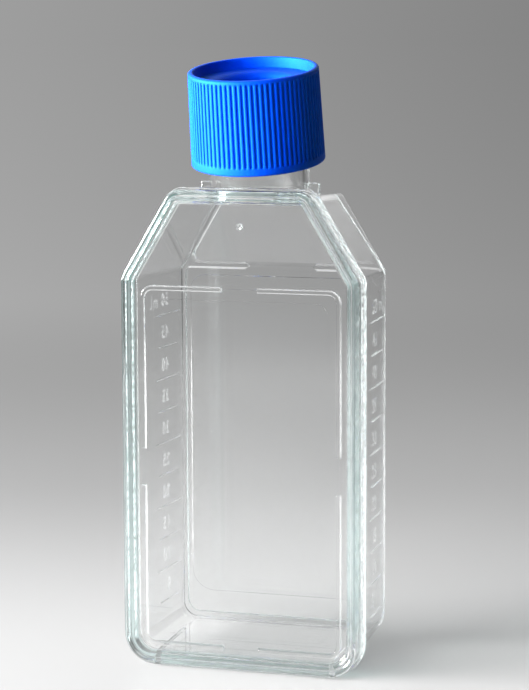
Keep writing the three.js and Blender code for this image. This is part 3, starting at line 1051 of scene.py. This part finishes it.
def with_pale_shadow(tree, surface):
    """A surface that is a pale tint to shadow rays, darker where they graze it."""
    clear_tint = tree.nodes.new("ShaderNodeBsdfTransparent")
    edge = tree.nodes.new("ShaderNodeLayerWeight")
    edge.inputs["Blend"].default_value = 0.35
    shade = tree.nodes.new("ShaderNodeMix")
    shade.data_type = "RGBA"
    shade.inputs["A"].default_value = (0.96, 0.965, 0.965, 1)
    shade.inputs["B"].default_value = (0.45, 0.46, 0.46, 1)
    tree.links.new(edge.outputs["Facing"], shade.inputs["Factor"])
    tree.links.new(shade.outputs["Result"], clear_tint.inputs["Color"])
    path = tree.nodes.new("ShaderNodeLightPath")
    return mix_shaders(tree, path.outputs["Is Shadow Ray"], surface, clear_tint.outputs["BSDF"])


def clear_material():
    """Clear polystyrene: glossy, faintly green in the thick, with a trace of moulding flow."""
    material, shader = principled(
        "clear_polystyrene", Base_Color=(0.996, 1.0, 1.0, 1), Roughness=0.02, IOR=1.59,
        Transmission_Weight=1.0,
    )
    tree = material.node_tree
    place = object_place(tree)
    out = beyond_outline(tree, place)
    depth = math_node(tree, "SUBTRACT", dot(tree, place, (0, 1 / MM, 0)), FRONT)
    seam = seam_share(tree, out, depth)
    grain = noise(tree, place, SEAM_GRAIN, 3)

    flow = bump(tree, noise(tree, place, 60, 1), 0.0005, 0.002)
    rough = bump(tree, grain, 0.0004, seam)
    tree.links.new(flow.outputs["Normal"], rough.inputs["Normal"])
    tree.links.new(rough.outputs["Normal"], shader.inputs["Normal"])

    # the squeezed-out plastic along the weld is frosted in streaks, the numbers evenly
    streaks = math_node(tree, "MULTIPLY", seam, blend(tree, grain, 0.42, 0.66, 0.02, 0.3))
    frost = math_node(tree, "MAXIMUM", streaks, number_share(tree, out, depth))
    surface = frosted(tree, frost, shader.outputs["BSDF"])
    finish_with(tree, with_pale_shadow(tree, surface), "Surface")

    tint = tree.nodes.new("ShaderNodeVolumeAbsorption")
    tint.inputs["Color"].default_value = (0.1, 0.92, 0.86, 1)
    tint.inputs["Density"].default_value = 0.4
    finish_with(tree, tint.outputs["Volume"], "Volume")
    return material


def weld_material():
    """Where two pieces are welded into one plastic, light goes straight on."""
    material, shader = principled("weld")
    tree = material.node_tree
    through = tree.nodes.new("ShaderNodeBsdfTransparent")
    finish_with(tree, through.outputs["BSDF"], "Surface")
    tree.nodes.remove(shader)
    return material


def cap_material():
    """Blue moulded plastic with a satin skin."""
    material, shader = principled(
        "blue_plastic", Base_Color=(0.0, 0.022, 0.42, 1), Roughness=0.7, IOR=1.5,
        Specular_IOR_Level=1.0, Specular_Tint=(0.0, 0.8, 1.0, 1), Subsurface_Weight=0.3,
        Subsurface_Radius=(0.05, 0.25, 1.0), Subsurface_Scale=0.0006,
    )
    tree = material.node_tree
    skin = bump(tree, noise(tree, object_place(tree), 2500, 2), 0.0001, 0.15)
    tree.links.new(skin.outputs["Normal"], shader.inputs["Normal"])
    return material


# ------------------------------------------------------------------ stage

VIEW_AZIMUTH = math.radians(17.316)
VIEW_ELEVATION = math.radians(7.636)
VIEW_ROLL = math.radians(-0.201)
LENS = 155.7
SENSOR_WIDTH = 36

# the camera's target and its distance from it, in millimetres
VIEW_TARGET = (4.74, FRONT, 57.5)
VIEW_DISTANCE = 387

# level directions to the right of the view and away from it
LOOK_RIGHT = (0.9547, 0.2976, 0)
LOOK_BACK = (-0.2976, 0.9547, 0)

# greys of the surroundings at the left and right of the view
BACKDROP_LEFT = 0.37
BACKDROP_RIGHT = 0.21
BACKDROP_END = 0.55
ROOM_LEFT = 0.22
ROOM_RIGHT = 0.03
MATT_SHARE = 0.3

# the floor, in metres
FLOOR_SIZE = 30
FLOOR_BELOW = 0.00002
FLOOR_GLOW = 0.75
FRONT_FLOOR = 0.37

# the far floor takes the surroundings' grey in its direction from this point, and an even
# grey close to it
FLOOR_CENTRE = (0.115, -0.37, 0)
CENTRE_GREY = 0.125


def surroundings(tree, direction):
    """The grey a level direction ends in, and the backdrop's share of it.

    The backdrop stands behind the flask. A dim room is in front and to the far right.
    """
    across = dot(tree, direction, LOOK_RIGHT)
    towards_back = blend(tree, dot(tree, direction, (0, 1, 0)), -0.2, 0.6, 0, 1)
    before_end = blend(tree, across, BACKDROP_END - 0.06, BACKDROP_END + 0.06, 1, 0)
    behind = math_node(tree, "MULTIPLY", towards_back, before_end)
    room = blend(tree, across, -0.6, 0.4, ROOM_LEFT, ROOM_RIGHT)
    backdrop = blend(tree, across, -0.25, 0.25, BACKDROP_LEFT, BACKDROP_RIGHT)
    return mix_node(tree, behind, room, backdrop), behind


def matt_share(tree):
    """Less of the surroundings for matt surfaces, which keeps the light on them one-sided."""
    path = tree.nodes.new("ShaderNodeLightPath")
    return blend(tree, path.outputs["Is Diffuse Ray"], 0, 1, 1, MATT_SHARE)


def painted_floor_shading(tree, side, back):
    """The floor's colour round the flask, with painted light and shade: paler on the right,
    darker at the back.
    """
    near = blend(tree, back, -0.01, 0.17, 0.228, 0.158)
    rightwards = blend(tree, side, -0.1, 0.1, 0.97, 1.36)
    front_end = blend(tree, back, -0.2, -0.08, 0.45, 1)
    front = math_node(tree, "MULTIPLY", front_end, blend(tree, back, -0.06, -0.02, 1.12, 1))

    # the floor under the key light is darker, or it would be far too bright from the side
    left_end = blend(tree, side, -0.22, -0.08, 0.75, 0)
    under_key = math_node(tree, "MULTIPLY", left_end, blend(tree, back, -0.14, -0.04, 0, 1))
    away_from_key = math_node(tree, "SUBTRACT", 1, under_key)
    gain = math_node(tree, "MULTIPLY", rightwards, away_from_key)
    return math_node(tree, "MULTIPLY", near, math_node(tree, "MULTIPLY", gain, front))


def far_floor_glow(tree, place, distance):
    """Painted glow of the far floor: the surroundings' grey in a place's direction, lighter near
    the flask.
    """
    away = vector_node(tree, "SUBTRACT", place)
    away.inputs[1].default_value = FLOOR_CENTRE
    direction = vector_node(tree, "NORMALIZE", away.outputs["Vector"]).outputs["Vector"]
    reach = vector_node(tree, "LENGTH", away.outputs["Vector"]).outputs["Value"]
    grey = surroundings(tree, direction)[0]
    level = mix_node(tree, blend(tree, reach, 0.02, 0.2, 0, 1), CENTRE_GREY, grey)
    return math_node(tree, "ADD", level, math_node(tree, "DIVIDE", 0.036, distance))


def floor_material():
    """Pale and matt round the flask, and glowing with the surroundings' grey far away."""
    material, shader = principled("floor", Roughness=0.6, Specular_IOR_Level=0.2)
    tree = material.node_tree
    place = object_place(tree)
    distance = vector_node(tree, "LENGTH", place).outputs["Value"]
    side = dot(tree, place, LOOK_RIGHT)
    back = dot(tree, place, LOOK_BACK)
    # the floor's colour round the flask carries painted light and shade
    tree.links.new(painted_floor_shading(tree, side, back), shader.inputs["Base Color"])

    # in front of the flask the glow is even, out to FRONT_FLOOR
    past_front = blend(tree, distance, FRONT_FLOOR - 0.04, FRONT_FLOOR + 0.04, 0, 1)
    leaves = math_node(tree, "MAXIMUM", blend(tree, back, -0.1, 0.15, 0, 1), past_front)
    # painted glow on the far floor, lighter towards the flask
    far_glow = far_floor_glow(tree, place, distance)
    glow = tree.nodes.new("ShaderNodeEmission")
    tree.links.new(mix_node(tree, leaves, FLOOR_GLOW, far_glow), glow.inputs["Color"])
    tree.links.new(matt_share(tree), glow.inputs["Strength"])
    far = blend(tree, distance, 0.1, 0.6, 0, 1)
    surface = mix_shaders(tree, far, shader.outputs["BSDF"], glow.outputs["Emission"])
    finish_with(tree, surface, "Surface")
    return material


def make_floor():
    """A wide pale floor, bright round the flask, that fades into the surroundings' grey."""
    mesh = bpy.data.meshes.new("floor")
    corners = [(-1, -1), (1, -1), (1, 1), (-1, 1)]
    verts = [(x * FLOOR_SIZE, y * FLOOR_SIZE, -FLOOR_BELOW) for x, y in corners]
    mesh.from_pydata(verts, [], [(0, 1, 2, 3)])
    mesh.materials.append(floor_material())
    floor = bpy.data.objects.new("floor", mesh)
    bpy.context.scene.collection.objects.link(floor)


def make_world():
    """The surroundings, with a soft glow over the backdrop."""
    world = bpy.data.worlds.new("studio")
    world.use_nodes = True
    tree = world.node_tree
    direction = tree.nodes.new("ShaderNodeTexCoord").outputs["Generated"]
    level, behind = surroundings(tree, direction)
    up = dot(tree, direction, (0, 0, 1))
    low_end = blend(tree, up, 0.08, 0.26, 0, 0.7)
    glow = math_node(tree, "MULTIPLY", low_end, blend(tree, up, 0.3, 0.6, 1, 0.6))
    ceiling = blend(tree, up, 0.05, 0.25, 0, 0.15)
    total = math_node(tree, "ADD", level, mix_node(tree, behind, ceiling, glow))
    seen = math_node(tree, "MULTIPLY", total, matt_share(tree))
    tree.links.new(seen, tree.nodes["Background"].inputs["Color"])
    bpy.context.scene.world = world


def area_light(name, place, aim, size, power, reflected=True):
    """A rectangular light, which is never seen through the clear plastic."""
    light = bpy.data.lights.new(name, "AREA")
    light.shape = "RECTANGLE"
    light.size, light.size_y = size
    light.energy = power
    obj = bpy.data.objects.new(name, light)
    obj.location = place
    obj.rotation_euler = (Vector(aim) - Vector(place)).to_track_quat("-Z", "Y").to_euler()
    obj.visible_glossy = reflected
    obj.visible_transmission = False
    bpy.context.scene.collection.objects.link(obj)


def make_lights():
    """A strong low panel on the left, a weaker one at the front left, a faint one above.

    Their places and sizes are in metres.
    """
    area_light(
        "key", place=(-0.4445, -0.2295, 0.135), aim=(0, 0, 0.10), size=(0.32, 0.15), power=22.5,
    )
    area_light(
        "fill", place=(-0.29, -0.49, 0.22), aim=(0, 0, 0.08), size=(0.3, 0.3), power=9.5,
        reflected=False,
    )
    area_light(
        "top", place=(-0.05, 0.25, 0.42), aim=(0, 0, 0.06), size=(0.6, 0.35), power=0.5,
    )


def make_camera():
    """A long lens, a little to the right and a little above."""
    back = Vector((
        math.sin(VIEW_AZIMUTH) * math.cos(VIEW_ELEVATION),
        -math.cos(VIEW_AZIMUTH) * math.cos(VIEW_ELEVATION),
        math.sin(VIEW_ELEVATION),
    ))
    right = Vector((math.cos(VIEW_AZIMUTH), math.sin(VIEW_AZIMUTH), 0))
    up = back.cross(right)
    tilted_right = right * math.cos(VIEW_ROLL) + up * math.sin(VIEW_ROLL)
    tilted_up = up * math.cos(VIEW_ROLL) - right * math.sin(VIEW_ROLL)
    camera = bpy.data.cameras.new("camera")
    camera.sensor_fit = "HORIZONTAL"
    camera.sensor_width = SENSOR_WIDTH
    camera.lens = LENS
    camera.clip_start = 0.01
    obj = bpy.data.objects.new("camera", camera)
    turn = Matrix((tilted_right, tilted_up, back)).transposed().to_4x4()
    spot = (Vector(VIEW_TARGET) + back * VIEW_DISTANCE) * MM
    obj.matrix_world = Matrix.Translation(spot) @ turn
    bpy.context.scene.collection.objects.link(obj)
    bpy.context.scene.camera = obj


# ------------------------------------------------------------------ assembly

BOUNCES = 64

flask = make_body()
panel = make_plate()
cap = make_cap()
clear = clear_material()
welded = weld_material()
for piece, node, body, slot, material in (
    (flask, "flask_body", "flask", "clear_polystyrene", clear),
    (panel, "front_plate", "flask", "clear_polystyrene", clear),
    (cap, "screw_cap", "cap", "cap_plastic", cap_material()),
):
    piece.data.materials.clear()
    piece.data.materials.append(material)
    smooth(piece)
    if node != "screw_cap":
        piece.data.materials.append(welded)
        mark_weld(piece, -1 if node == "flask_body" else 1)
    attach(piece, body)
    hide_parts(node)

make_floor()
make_world()
make_lights()
make_camera()
scene = bpy.context.scene
scene.view_settings.view_transform = "Standard"

# light caught inside the clear plastic needs many bounces to find its way out
for limit in ("glossy_bounces", "transmission_bounces", "max_bounces", "transparent_max_bounces"):
    setattr(scene.cycles, limit, BOUNCES)

# the shadow of the clear plastic comes from its material alone
scene.cycles.caustics_refractive = False
